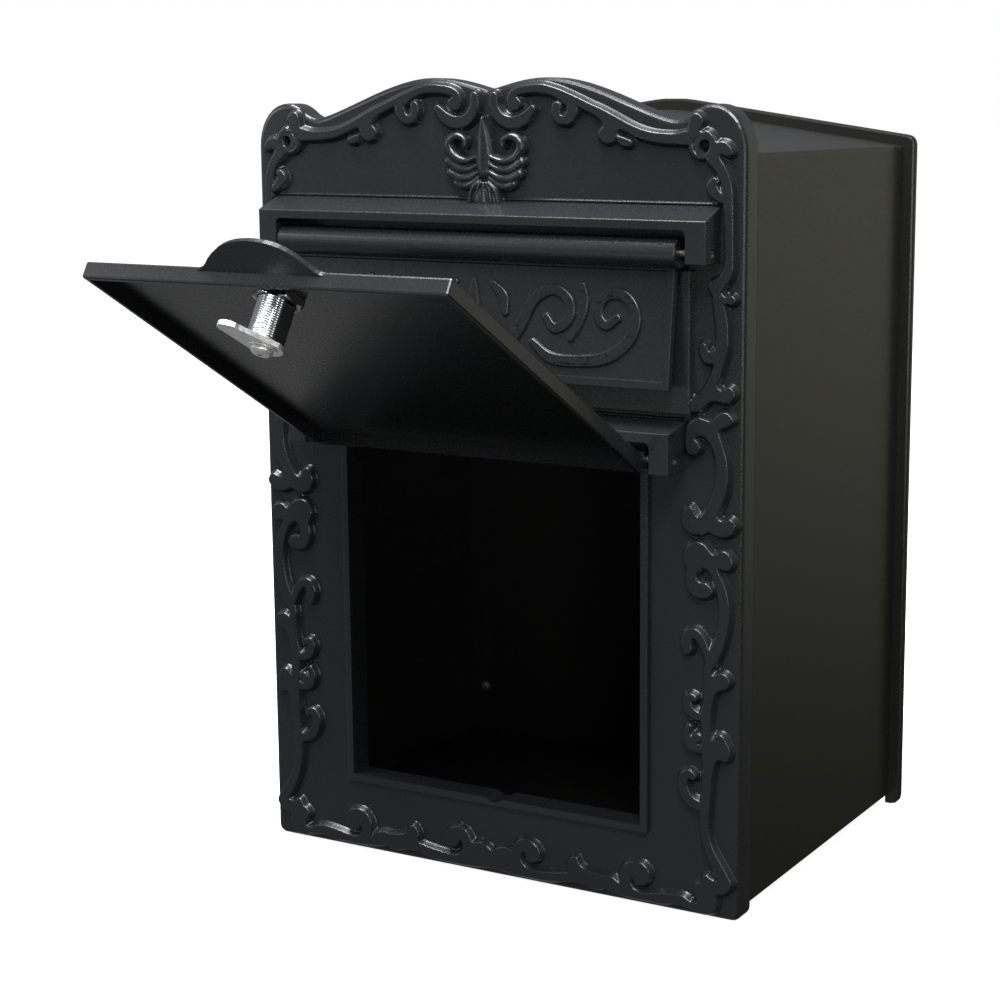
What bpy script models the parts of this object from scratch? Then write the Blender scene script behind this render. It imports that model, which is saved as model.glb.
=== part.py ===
"""Lockable cast-aluminium letter box, hinged mail flap above and hinged door below.

Built in a working frame with X to the right, Y from the front plate's face towards the
back and Z up from the front plate's bottom edge. The finished objects are then shifted so
that the origin is the centre of the rear plate's mounting face. Lengths are in metres.
"""
import math

import bmesh
import bpy
from mathutils import Matrix, Vector

MM = 0.001
GAP = 0.3 * MM

# Front plate casting
PLATE_HALF_W = 157.5 * MM
PLATE_DEPTH = 14.2 * MM
PLATE_WALL = 4.0 * MM
PLATE_RIM = 4.0 * MM
PLATE_EDGE_R = 3.0 * MM
PLATE_CORNER_R = 5.0 * MM
DIP_Z = 452.5 * MM
HUMP_X = 37.0 * MM
HUMP_Z = 459.0 * MM
VALLEY_X = 117.0 * MM
VALLEY_Z = 436.2 * MM
EAR_X = 137.0 * MM
EAR_Z = 445.0 * MM
EAR_SHOULDER_Z = 420.0 * MM
# Handles of the crest's smooth curve: how far each one runs from its point
EAR_SHOULDER_PULL = 14.0 * MM
EAR_PULL_OUT = 12.0 * MM
EAR_PULL_IN = 6.0 * MM
NECK_PULL_X = 10.0 * MM
NECK_PULL_Z = 3.0 * MM
VALLEY_OUTER = (6.0 * MM, 2.6 * MM)
VALLEY_INNER = (-5.0 * MM, 1.0 * MM)
VALLEY_PULL = 2.0 * MM
SLOPE_PULL = (-25.0 * MM, 6.0 * MM)
HUMP_PULL_OUT = 25.0 * MM
HUMP_PULL_IN = 17.0 * MM
DIP_PULL = (8.0 * MM, 1.2 * MM)
EAR_HOLE_X = 135.0 * MM
EAR_HOLE_Z = 423.4 * MM
EAR_HOLE_R = 3.4 * MM
EAR_HOLE_DEPTH = 3.0 * MM
ROSETTE_R = 8.0 * MM
ROSETTE_H = 3.6 * MM
ROSETTE_STEP_R = 7.4 * MM
ROSETTE_TOP_R = 6.4 * MM
FACE_EDGE_R = 1.0 * MM
SHARP_EDGE = math.radians(20.0)
CUT_FROM_Y = -20.0 * MM
CUT_TO_Y = 30.0 * MM

# Retrieval opening, its raised lip and its inward rim
OPEN_HALF_W = 97.3 * MM
OPEN_Z0 = 47.5 * MM
OPEN_Z1 = 247.5 * MM
LIP_W = 4.6 * MM
LIP_H = 3.0 * MM
OPEN_RIM = 4.0 * MM
OPEN_RIM_DEPTH = 12.6 * MM
NOTCH_X = 1.5 * MM
NOTCH_W = 13.6 * MM
NOTCH_DEPTH = 2.4 * MM
NOTCH_RISE = 3.6 * MM

# Letter slot behind the flap and the raised block around it
BLOCK_HALF_W = 127.8 * MM
BLOCK_Z0 = 281.0 * MM
BLOCK_Z1 = 358.5 * MM
BLOCK_H = 5.0 * MM
SLOT_HALF_W = 110.0 * MM
SLOT_Z0 = 303.0 * MM
SLOT_Z1 = 350.0 * MM

# Hood over the flap and rail over the door, each with a lug at both ends
HOOD_HALF_W = 143.6 * MM
HOOD_REACH = 19.7 * MM
HOOD_TOP_BACK = 392.6 * MM
HOOD_TOP_FRONT = 385.0 * MM
HOOD_UNDER = 380.0 * MM
HOOD_LUG_W = 12.0 * MM
HOOD_LUG_Z = 362.5 * MM
RAIL_HALF_W = 124.0 * MM
RAIL_REACH = 22.7 * MM
RAIL_TOP_BACK = 277.7 * MM
RAIL_TOP_FRONT = 273.1 * MM
RAIL_UNDER = 267.3 * MM
RAIL_LUG_W = 11.8 * MM
RAIL_LUG_Z = 250.8 * MM
LUG_FILLET = 3.0 * MM
RAIL_EDGE_R = 0.8 * MM

# Mail flap
FLAP_AXIS_Y = -11.3 * MM
FLAP_AXIS_Z = 367.8 * MM
BARREL_R = 8.2 * MM
BARREL_X0 = -131.2 * MM
BARREL_X1 = 125.3 * MM
BARREL_CHAMFER = 0.6 * MM
FLAP_BORE_LEN = 27.0 * MM
FLAP_X0 = -127.0 * MM
FLAP_X1 = 121.4 * MM
FLAP_LEN = 72.8 * MM
FLAP_BACK = 6.2 * MM
FLAP_FRONT = 1.8 * MM
FLAP_EDGE_R = 0.7 * MM
FLAP_PANEL_DROP = 2.0 * MM
FLAP_BORDER = 4.3 * MM
FLAP_FIELD_DEPTH = 1.6 * MM
FLAP_FIELD_DROP = 9.2 * MM
FLAP_FIELD_DRAFT = 0.7 * MM
FLAP_TILT = math.radians(6.5)
SCROLL_H = 1.5 * MM
SCROLL_ROOT = 0.6 * MM
LOZENGE_W = 5.5 * MM
LOZENGE_H = 21.0 * MM
# Flourish on the flap, right half: x and z from the field's middle, and width, in mm
FLAP_SCROLLS = (
    ((10, -19, 2.6), (21, -17, 4.6), (31, -4, 5.4), (39, 11, 5.2), (51, 17, 4.8), (61, 11, 4.6),
     (61, 1, 4.4), (53, -4, 4.0), (47, 2, 3.2)),
    ((39, -12, 2.6), (51, -20, 4.6), (68, -21, 5.2), (86, -18, 5.4), (99, -8, 5.2), (102, 5, 5.0),
     (95, 15, 4.8), (84, 15, 4.6), (79, 6, 4.4), (84, -1, 4.0), (91, 3, 3.2)),
    ((12, 19, 2.4), (19, 12, 5.2), (21, 3, 2.6)),
    ((69, 20, 2.4), (70, 11, 5.0), (68, -1, 2.8), (63, -9, 2.4)),
)

# Door
DOOR_AXIS_Y = -14.8 * MM
DOOR_AXIS_Z = 257.8 * MM
DOOR_HALF_W = 107.6 * MM
DOOR_LEN = 218.9 * MM
DOOR_DEPTH = 9.1 * MM
DOOR_SKIN = 2.8 * MM
DOOR_RIM = 3.0 * MM
DOOR_EDGE_R = 1.2 * MM
DOOR_EAR_R = 5.2 * MM
DOOR_EAR_W = 6.7 * MM
DOOR_EAR_CHAMFER = 0.5 * MM
DOOR_TOP_DROP = 0.2 * MM
DOOR_OPEN = math.radians(120.3)
TAB_HALF_W = 32.0 * MM
TAB_FILLET = 5.0 * MM
TAB_H = 17.4 * MM
TAB_ROOT_PULL = (3.0 * MM, 0.4 * MM)
TAB_HEEL = (4.5 * MM, 7.0 * MM)
TAB_HEEL_PULL = (0.5 * MM, 2.5 * MM)
TAB_SHOULDER_PULL = (12.5 * MM, 14.5 * MM)
TAB_TOP_PULL = 11.0 * MM
TAB_ROOT_HALF_W = 30.0 * MM
TAB_ROOT_DEPTH = 2.0 * MM
TAB_TILT = math.radians(32.0)

# Spring pins
PIN_R = 2.0 * MM
PIN_BORE_R = 1.2 * MM
PIN_SLOT = 0.8 * MM
PIN_HOLE_R = 2.3 * MM
FLAP_PIN_LEN = 30.0 * MM
DOOR_PIN_LEN = 22.4 * MM

# Cam lock
LOCK_X = -2.5 * MM
LOCK_DROP = 197.0 * MM
LOCK_R = 9.5 * MM
LOCK_FLATS = 16.0 * MM
LOCK_HEAD_R = 12.0 * MM
LOCK_HEAD_H = 2.6 * MM
LOCK_HEAD_CHAMFER = 0.7 * MM
LOCK_SEAT = 0.1 * MM
LOCK_CHAMFER = 0.6 * MM
LOCK_GRIP = 25.7 * MM
PLUG_R = 6.0 * MM
PLUG_SQUARE = 7.0 * MM
PLUG_CLEARANCE = 0.25 * MM
PLUG_PROUD = 0.5 * MM
PLUG_CHAMFER = 0.4 * MM
KEYWAY_HALF_W = 0.6 * MM
KEYWAY_HALF_H = 4.0 * MM
KEYWAY_DEPTH = 12.0 * MM
PLUG_TAP_R = 2.4 * MM
PLUG_TAP_DEPTH = 8.0 * MM
NUT_CORNER_R = 13.4 * MM
NUT_H = 4.5 * MM
NUT_TURN = math.radians(96.0)
CAM_CLEARANCE = 0.2 * MM
CAM_T = 2.5 * MM
CAM_R = 10.0 * MM
CAM_TIP_R = 6.0 * MM
CAM_REACH = 21.0 * MM
CAM_TURN = math.radians(17.0)
WASHER_R = 7.4 * MM
WASHER_T = 0.7 * MM
WASHER_HOLE_R = 2.5 * MM
CAM_SCREW_R = 5.6 * MM
CAM_SCREW_H = 2.9 * MM
CAM_SCREW_SHANK_R = 2.1 * MM
CAM_SCREW_TIP_R = 1.6 * MM
CAM_SCREW_TIP_LEN = 0.6 * MM
CAM_SCREW_LEN = 8.0 * MM
CAM_SCREW_RECESS = (2.2 * MM, 0.45 * MM, 1.2 * MM)

# Sheet-metal body
BODY_HALF_W = 157.5 * MM
BODY_Z0 = 6.5 * MM
BODY_EAVES_Z = 419.8 * MM
BODY_APEX_Z = 442.0 * MM
BODY_DEPTH = 211.0 * MM
BODY_WALL = 1.8 * MM
BODY_FLANGE = 20.0 * MM
BODY_BEND_R = 2.5 * MM
BODY_CROWN_DROP = 2.0 * MM
CROWN_HALF_W = 14.0 * MM
CROWN_EASE = 0.62

# Rear plate
REAR_HALF_W = 165.0 * MM
REAR_T = 6.0 * MM
REAR_Z0 = 1.2 * MM
REAR_SHOULDER_Z = 426.3 * MM
REAR_APEX_Z = 449.2 * MM
REAR_CORNER_R = 6.0 * MM
REAR_FOOT_W = 9.5 * MM
REAR_EDGE_R = 1.5 * MM
REAR_EDGE_MID_IN = 0.5 * MM
REAR_EDGE_MID_Y = 0.4 * MM
REAR_TAP_DEPTH = 4.9 * MM
REAR_HOLE_X = 105.0 * MM
REAR_HOLE_Z0 = 225.0 * MM
REAR_HOLE_Z1 = 375.0 * MM
REAR_HOLE_R = 3.5 * MM

# Assembly screws
SCREW_X = 144.5 * MM
SCREW_HEIGHTS = (40.0 * MM, 210.0 * MM, 395.0 * MM)
SCREW_HEAD_R = 3.6 * MM
SCREW_HEAD_H = 2.4 * MM
SCREW_CROWN_R = 1.6 * MM
SCREW_TIP_R = 0.7 * MM
SCREW_TIP_LEN = 0.8 * MM
SCREW_SHANK_LEN = 6.2 * MM
SCREW_RECESS = (2.1 * MM, 0.4 * MM, 1.1 * MM)
SCREW_SEAT = 0.1 * MM
SCREW_SHANK_R = 1.5 * MM
SCREW_LEN = 7.0 * MM
SCREW_HOLE_R = 1.85 * MM
POST_R = 4.6 * MM

BODY_Y0 = PLATE_DEPTH + GAP
BODY_Y1 = BODY_Y0 + BODY_DEPTH
REAR_Y0 = BODY_Y1 + GAP
REAR_Y1 = REAR_Y0 + REAR_T
ORIGIN_Z = 225.0 * MM
TO_ORIGIN = Vector((0.0, -REAR_Y1, -ORIGIN_Z))


# ---------------------------------------------------------------- materials
def material(name, colour, metallic, roughness):
    mat = bpy.data.materials.new(name)
    mat.use_nodes = True
    shader = mat.node_tree.nodes["Principled BSDF"]
    shader.inputs["Base Color"].default_value = (*colour, 1.0)
    shader.inputs["Metallic"].default_value = metallic
    shader.inputs["Roughness"].default_value = roughness
    mat.diffuse_color = (*colour, 1.0)
    return mat


# ---------------------------------------------------------------- mesh tools
def finish(bm, name):
    bmesh.ops.remove_doubles(bm, verts=bm.verts, dist=1e-6)
    bmesh.ops.recalc_face_normals(bm, faces=bm.faces)
    mesh = bpy.data.meshes.new(name)
    bm.to_mesh(mesh)
    bm.free()
    obj = bpy.data.objects.new(name, mesh)
    bpy.context.scene.collection.objects.link(obj)
    return obj


def placed(axis, along, u, v):
    """A point with its coordinate along the axis and two more in X, Y, Z order."""
    if axis == "X":
        return (along, u, v)
    if axis == "Y":
        return (u, along, v)
    return (u, v, along)


def prism(name, outline, axis, low, high, round_r=0.0, segments=2):
    bm = bmesh.new()
    first = [bm.verts.new(placed(axis, low, u, v)) for u, v in outline]
    last = [bm.verts.new(placed(axis, high, u, v)) for u, v in outline]
    bm.faces.new(first)
    bm.faces.new(last)
    count = len(outline)
    for i in range(count):
        j = (i + 1) % count
        bm.faces.new((first[i], first[j], last[j], last[i]))
    bmesh.ops.recalc_face_normals(bm, faces=bm.faces)
    if round_r > 0.0:
        bmesh.ops.bevel(bm, geom=bm.edges[:], offset=round_r, segments=segments,
                        affect="EDGES", profile=0.5, clamp_overlap=True)
    return finish(bm, name)


def block(name, low, high, round_r=0.0):
    outline = [(low[0], low[1]), (high[0], low[1]), (high[0], high[1]), (low[0], high[1])]
    return prism(name, outline, "Z", low[2], high[2], round_r)


def circle(u, v, radius, count=24, start=0.0):
    points = []
    for i in range(count):
        angle = start + 2.0 * math.pi * i / count
        points.append((u + radius * math.cos(angle), v + radius * math.sin(angle)))
    return points


def arc(u, v, radius, start_deg, end_deg, count):
    points = []
    for i in range(count + 1):
        angle = math.radians(start_deg + (end_deg - start_deg) * i / count)
        points.append((u + radius * math.cos(angle), v + radius * math.sin(angle)))
    return points


def bezier(p0, p1, p2, p3, count):
    points = []
    for i in range(count):
        t = i / count
        s = 1.0 - t
        points.append(tuple(s ** 3 * a + 3 * s * s * t * b + 3 * s * t * t * c + t ** 3 * d
                            for a, b, c, d in zip(p0, p1, p2, p3)))
    return points


def cylinder(name, axis, u, v, radius, low, high, count=32, chamfer=0.0):
    """A round bar; its end edges are chamfered by the stated amount."""
    rings = [(low, radius - chamfer), (low + chamfer, radius),
             (high - chamfer, radius), (high, radius - chamfer)]
    if chamfer == 0.0:
        rings = [(low, radius), (high, radius)]
    return loft(name, axis, [(along, circle(u, v, r, count)) for along, r in rings])


def loft(name, axis, rings):
    """Join rings of equal point count, and close both ends."""
    bm = bmesh.new()
    loops = [[bm.verts.new(placed(axis, along, u, v)) for u, v in points]
             for along, points in rings]
    count = len(loops[0])
    for lower, upper in zip(loops, loops[1:]):
        for i in range(count):
            j = (i + 1) % count
            bm.faces.new((lower[i], lower[j], upper[j], upper[i]))
    bm.faces.new(loops[0])
    bm.faces.new(loops[-1])
    return finish(bm, name)


def inset(outline, distance):
    """Move each side of a counter-clockwise outline inwards by the distance."""
    count = len(outline)
    result = []
    for i in range(count):
        before = Vector(outline[i - 1])
        here = Vector(outline[i])
        after = Vector(outline[(i + 1) % count])
        one = (here - before).normalized()
        two = (after - here).normalized()
        normal = Vector((-one.y - two.y, one.x + two.x)).normalized()
        stretch = max(0.5, normal.dot(Vector((-one.y, one.x))))
        result.append(tuple(here + normal * (distance / stretch)))
    return result


def combine(target, tool, operation):
    """Apply one exact boolean and discard the tool."""
    modifier = target.modifiers.new("combine", "BOOLEAN")
    modifier.solver = "EXACT"
    modifier.operation = operation
    modifier.object = tool
    tool.hide_render = True
    tool.display_type = "WIRE"
    bpy.context.view_layer.update()
    evaluated = target.evaluated_get(bpy.context.evaluated_depsgraph_get())
    mesh = bpy.data.meshes.new_from_object(evaluated)
    target.modifiers.clear()
    target.data = mesh
    bpy.data.objects.remove(tool)
    return target


def join(target, tool):
    return combine(target, tool, "UNION")


def cut(target, tool):
    return combine(target, tool, "DIFFERENCE")


def turned(obj, angle, y, z):
    """Turn the mesh about the line along X through y, z."""
    pivot = Matrix.Translation((0.0, y, z))
    obj.data.transform(pivot @ Matrix.Rotation(angle, 4, "X") @ pivot.inverted())
    return obj


def clean(obj):
    bm = bmesh.new()
    bm.from_mesh(obj.data)
    bmesh.ops.remove_doubles(bm, verts=bm.verts, dist=2e-6)
    bmesh.ops.dissolve_degenerate(bm, edges=bm.edges, dist=2e-6)
    bmesh.ops.dissolve_limit(bm, angle_limit=math.radians(0.4), verts=bm.verts, edges=bm.edges)
    bmesh.ops.triangulate(bm, faces=bm.faces)
    bmesh.ops.recalc_face_normals(bm, faces=bm.faces)
    bm.to_mesh(obj.data)
    bm.free()


def complete(obj, name, mat, pivot=None):
    """Name the finished object, give it its material and put its origin on its axis."""
    clean(obj)
    obj.name = name
    obj.data.name = name
    obj.data.materials.clear()
    obj.data.materials.append(mat)
    shift = Vector(pivot) if pivot is not None else Vector((0.0, 0.0, 0.0))
    obj.data.transform(Matrix.Translation(-shift))
    obj.location = shift + TO_ORIGIN
    return obj


# ---------------------------------------------------------------- front plate
def plate_outline():
    """Outer contour, counter-clockwise from the bottom left corner."""
    w = PLATE_HALF_W
    r = PLATE_CORNER_R
    outer = (VALLEY_X + VALLEY_OUTER[0], VALLEY_Z + VALLEY_OUTER[1])
    inner = (VALLEY_X + VALLEY_INNER[0], VALLEY_Z + VALLEY_INNER[1])
    right = arc(w - r, r, r, -90.0, 0.0, 4)
    ear = bezier((w, EAR_SHOULDER_Z), (w, EAR_SHOULDER_Z + EAR_SHOULDER_PULL),
                 (EAR_X + EAR_PULL_OUT, EAR_Z), (EAR_X, EAR_Z), 9)
    neck = bezier((EAR_X, EAR_Z), (EAR_X - EAR_PULL_IN, EAR_Z),
                  (EAR_X - NECK_PULL_X, EAR_Z - NECK_PULL_Z), outer, 5)
    valley = bezier(outer, (VALLEY_X + VALLEY_PULL, VALLEY_Z), (VALLEY_X - VALLEY_PULL, VALLEY_Z), inner, 4)
    slope = bezier(inner, (VALLEY_X + SLOPE_PULL[0], VALLEY_Z + SLOPE_PULL[1]),
                   (HUMP_X + HUMP_PULL_OUT, HUMP_Z), (HUMP_X, HUMP_Z), 12)
    crest = bezier((HUMP_X, HUMP_Z), (HUMP_X - HUMP_PULL_IN, HUMP_Z),
                   (DIP_PULL[0], DIP_Z + DIP_PULL[1]), (0.0, DIP_Z), 9)
    half = right + ear + neck + valley + slope + crest
    mirrored = [(-x, z) for x, z in reversed(half)]
    return half + [(0.0, DIP_Z)] + mirrored


def soften(obj, radius):
    """Bevel every sharp edge of a finished solid."""
    bm = bmesh.new()
    bm.from_mesh(obj.data)
    sharp = [edge for edge in bm.edges if edge.calc_face_angle(0.0) > SHARP_EDGE]
    bmesh.ops.bevel(bm, geom=sharp, offset=radius, segments=2, affect="EDGES", profile=0.5,
                    clamp_overlap=True)
    bm.to_mesh(obj.data)
    bm.free()
    return obj


def pin_rail(target, half_w, reach, top_back, top_front, under, lug_w, lug_z):
    """A rail across the plate with a sloping top and a lug hanging from each end."""
    inner = half_w - lug_w
    r = LUG_FILLET
    outline = [(-half_w, lug_z), (-inner, lug_z)]
    outline += arc(-inner + r, under - r, r, 180.0, 90.0, 4)
    outline += arc(inner - r, under - r, r, 90.0, 0.0, 4)
    outline += [(inner, lug_z), (half_w, lug_z), (half_w, top_back), (-half_w, top_back)]
    rail = prism("rail", outline, "Y", -reach, MM)
    fall = (top_back - top_front) / reach
    beyond = 5.0 * MM
    slope = [(0.0, top_back), (-reach - beyond, top_front - fall * beyond),
             (-reach - beyond, top_back + beyond), (0.0, top_back + beyond)]
    cut(rail, prism("slope", slope, "X", -half_w - MM, half_w + MM))
    join(target, soften(rail, RAIL_EDGE_R))


def front_plate(mat):
    outline = plate_outline()
    rings = [(PLATE_DEPTH, outline)]
    steps = 4
    for i in range(steps + 1):
        angle = math.radians(90.0 * i / steps)
        depth = PLATE_EDGE_R * (1.0 - math.sin(angle))
        rings.append((depth, inset(outline, PLATE_EDGE_R * (1.0 - math.cos(angle)) + 1e-6)))
    plate = loft("front_plate", "Y", rings)
    cavity = inset(outline, PLATE_RIM)
    cut(plate, prism("cavity", cavity, "Y", PLATE_WALL, PLATE_DEPTH + MM))

    lip = OPEN_HALF_W + LIP_W
    join(plate, block("lip", (-lip, -LIP_H, OPEN_Z0 - LIP_W), (lip, MM, OPEN_Z1 + LIP_W), FACE_EDGE_R))
    rim = OPEN_HALF_W + OPEN_RIM
    join(plate, block("rim", (-rim, PLATE_WALL - MM, OPEN_Z0 - OPEN_RIM),
                      (rim, OPEN_RIM_DEPTH, OPEN_Z1 + OPEN_RIM)))
    join(plate, block("block", (-BLOCK_HALF_W, -BLOCK_H, BLOCK_Z0),
                      (BLOCK_HALF_W, MM, BLOCK_Z1), FACE_EDGE_R))
    pin_rail(plate, HOOD_HALF_W, HOOD_REACH, HOOD_TOP_BACK, HOOD_TOP_FRONT, HOOD_UNDER,
             HOOD_LUG_W, HOOD_LUG_Z)
    pin_rail(plate, RAIL_HALF_W, RAIL_REACH, RAIL_TOP_BACK, RAIL_TOP_FRONT, RAIL_UNDER,
             RAIL_LUG_W, RAIL_LUG_Z)

    cut(plate, block("opening", (-OPEN_HALF_W, CUT_FROM_Y, OPEN_Z0), (OPEN_HALF_W, CUT_TO_Y, OPEN_Z1)))
    radius = NOTCH_DEPTH + NOTCH_RISE
    widen = NOTCH_W * 0.5 / radius
    notch = arc(NOTCH_X, OPEN_Z0 + NOTCH_RISE, radius, 180.0, 360.0, 12)
    notch = [(NOTCH_X + (u - NOTCH_X) * widen, v) for u, v in notch]
    cut(plate, prism("notch", notch, "Y", CUT_FROM_Y, CUT_TO_Y))
    cut(plate, block("slot", (-SLOT_HALF_W, CUT_FROM_Y, SLOT_Z0), (SLOT_HALF_W, CUT_TO_Y, SLOT_Z1)))

    for side in (-1, 1):
        x = side * EAR_HOLE_X
        rings = [(MM, ROSETTE_R), (MM - ROSETTE_H, ROSETTE_STEP_R), (-ROSETTE_H, ROSETTE_TOP_R)]
        join(plate, loft("rosette", "Y", [(y, circle(x, EAR_HOLE_Z, r)) for y, r in rings]))
        cut(plate, cylinder("ear_hole", "Y", x, EAR_HOLE_Z, EAR_HOLE_R, CUT_FROM_Y, EAR_HOLE_DEPTH, 16))
        for height in SCREW_HEIGHTS:
            post = cylinder("post", "Y", side * SCREW_X, height, POST_R, PLATE_WALL - MM, PLATE_DEPTH, 16)
            join(plate, post)
            cut(plate, cylinder("tapping", "Y", side * SCREW_X, height, SCREW_HOLE_R,
                                PLATE_DEPTH - SCREW_LEN, PLATE_DEPTH + MM, 12))
    for y, z in ((FLAP_AXIS_Y, FLAP_AXIS_Z), (DOOR_AXIS_Y, DOOR_AXIS_Z)):
        cut(plate, cylinder("pin_hole", "X", y, z, PIN_HOLE_R, -PLATE_HALF_W, PLATE_HALF_W, 16))
    return complete(plate, "front_plate", mat)


# ---------------------------------------------------------------- body and rear plate
def gable(half_w, bottom, eaves, apex, corner_r):
    """House-shaped outline, counter-clockwise, with rounded corners and crown."""
    slope = math.degrees(math.atan2(apex - eaves, half_w))
    half = arc(half_w - corner_r, bottom + corner_r, corner_r, -90.0, 0.0, 3)
    half += arc(half_w - corner_r, eaves - corner_r, corner_r, 0.0, 90.0 - slope * 0.5, 4)
    rise = (apex - eaves) / half_w
    crown = CROWN_HALF_W
    half += [(crown, apex - crown * rise), (crown * 0.5, apex - crown * rise * CROWN_EASE)]
    return half + [(-x, z) for x, z in reversed(half)]


def body_shell(mat):
    outer = gable(BODY_HALF_W, BODY_Z0, BODY_EAVES_Z, BODY_APEX_Z, BODY_BEND_R)
    shell = prism("body_shell", outer, "Y", BODY_Y0, BODY_Y1)
    cut(shell, prism("inside", inset(outer, BODY_WALL), "Y", BODY_Y0 + BODY_WALL, BODY_Y1 - BODY_WALL))
    window = gable(BODY_HALF_W - BODY_FLANGE, BODY_Z0 + BODY_FLANGE, BODY_EAVES_Z - BODY_FLANGE,
                   BODY_APEX_Z - BODY_FLANGE - BODY_CROWN_DROP, BODY_BEND_R)
    cut(shell, prism("window", window, "Y", BODY_Y0 - MM, BODY_Y1 + MM))
    for side in (-1, 1):
        for height in SCREW_HEIGHTS:
            cut(shell, cylinder("hole", "Y", side * SCREW_X, height, SCREW_HOLE_R,
                                BODY_Y0 - MM, BODY_Y1 + MM, 12))
    return complete(shell, "body_shell", mat)


def rear_plate(mat):
    outline = gable(REAR_HALF_W, REAR_Z0, REAR_SHOULDER_Z, REAR_APEX_Z, REAR_CORNER_R)
    edge = inset(outline, REAR_EDGE_R)
    middle = inset(outline, REAR_EDGE_MID_IN)
    rings = [(REAR_Y0, edge), (REAR_Y0 + REAR_EDGE_MID_Y, middle), (REAR_Y0 + REAR_EDGE_R, outline),
             (REAR_Y1 - REAR_EDGE_R, outline), (REAR_Y1 - REAR_EDGE_MID_Y, middle), (REAR_Y1, edge)]
    plate = loft("rear_plate", "Y", rings)
    foot = REAR_HALF_W - REAR_FOOT_W
    cut(plate, block("relief", (-foot, REAR_Y0 - MM, REAR_Z0 - MM), (foot, REAR_Y1 + MM, BODY_Z0)))
    for x in (-REAR_HOLE_X, REAR_HOLE_X):
        for z in (REAR_HOLE_Z0, REAR_HOLE_Z1):
            cut(plate, cylinder("hole", "Y", x, z, REAR_HOLE_R, REAR_Y0 - MM, REAR_Y1 + MM, 24))
    for side in (-1, 1):
        for height in SCREW_HEIGHTS:
            cut(plate, cylinder("tapping", "Y", side * SCREW_X, height, SCREW_HOLE_R,
                                REAR_Y0 - MM, REAR_Y0 + REAR_TAP_DEPTH, 12))
    return complete(plate, "rear_plate", mat)


def assembly_screw(name, mat, x, z, head_y, direction):
    """Pan-head screw; its shank runs along Y in the stated direction from the head's seat."""
    def at(depth):
        return head_y + direction * depth

    rings = [(-SCREW_HEAD_H, SCREW_CROWN_R), (-SCREW_HEAD_H * 0.8, SCREW_HEAD_R * 0.8),
             (-SCREW_HEAD_H * 0.35, SCREW_HEAD_R), (0.0, SCREW_HEAD_R), (0.0, SCREW_SHANK_R),
             (SCREW_SHANK_LEN - SCREW_TIP_LEN, SCREW_SHANK_R), (SCREW_SHANK_LEN, SCREW_TIP_R)]
    screw = loft(name, "Y", [(at(depth), circle(x, z, r, 16)) for depth, r in rings])
    length, width, deep = SCREW_RECESS
    ends = sorted((at(-SCREW_HEAD_H - MM), at(-SCREW_HEAD_H + deep)))
    for u, v in ((length, width), (width, length)):
        cut(screw, block("recess", (x - u, ends[0], z - v), (x + u, ends[1], z + v)))
    return complete(screw, name, mat)


# ---------------------------------------------------------------- pins
def spring_pin(name, mat, y, z, low, high, slot_down):
    """Rolled pin, slit along its length."""
    half = math.degrees(math.asin(PIN_SLOT * 0.5 / PIN_R))
    middle = -90.0 if slot_down else 90.0
    section = arc(y, z, PIN_R, middle + half, middle + 360.0 - half, 20)
    half = math.degrees(math.asin(PIN_SLOT * 0.5 / PIN_BORE_R))
    section += arc(y, z, PIN_BORE_R, middle + 360.0 - half, middle + half, 20)
    return complete(prism(name, section, "X", low, high), name, mat)


# ---------------------------------------------------------------- mail flap
def spline(points, count=5):
    """Smooth curve through points of any dimension, with the stated steps between them."""
    pts = [Vector(p) for p in points]
    pts = [2.0 * pts[0] - pts[1]] + pts + [2.0 * pts[-1] - pts[-2]]
    result = []
    for a, b, c, d in zip(pts, pts[1:], pts[2:], pts[3:]):
        for i in range(count):
            t = i / count
            result.append(0.5 * (2.0 * b + (c - a) * t + (2.0 * a - 5.0 * b + 4.0 * c - d) * t * t
                                 + (3.0 * b - a - 3.0 * c + d) * t ** 3))
    return result + [pts[-2]]


def ribbon(name, points, low, high):
    """Raised band along a smooth middle line; each point gives x, z and the band's width."""
    line = spline(points)
    left = []
    right = []
    for i, (x, z, width) in enumerate(line):
        before = line[max(0, i - 1)]
        after = line[min(len(line) - 1, i + 1)]
        along = Vector((after[0] - before[0], after[1] - before[1])).normalized()
        left.append((x - along.y * width * 0.5, z + along.x * width * 0.5))
        right.append((x + along.y * width * 0.5, z - along.x * width * 0.5))
    return prism(name, left + right[::-1], "Y", low, high)


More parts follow.
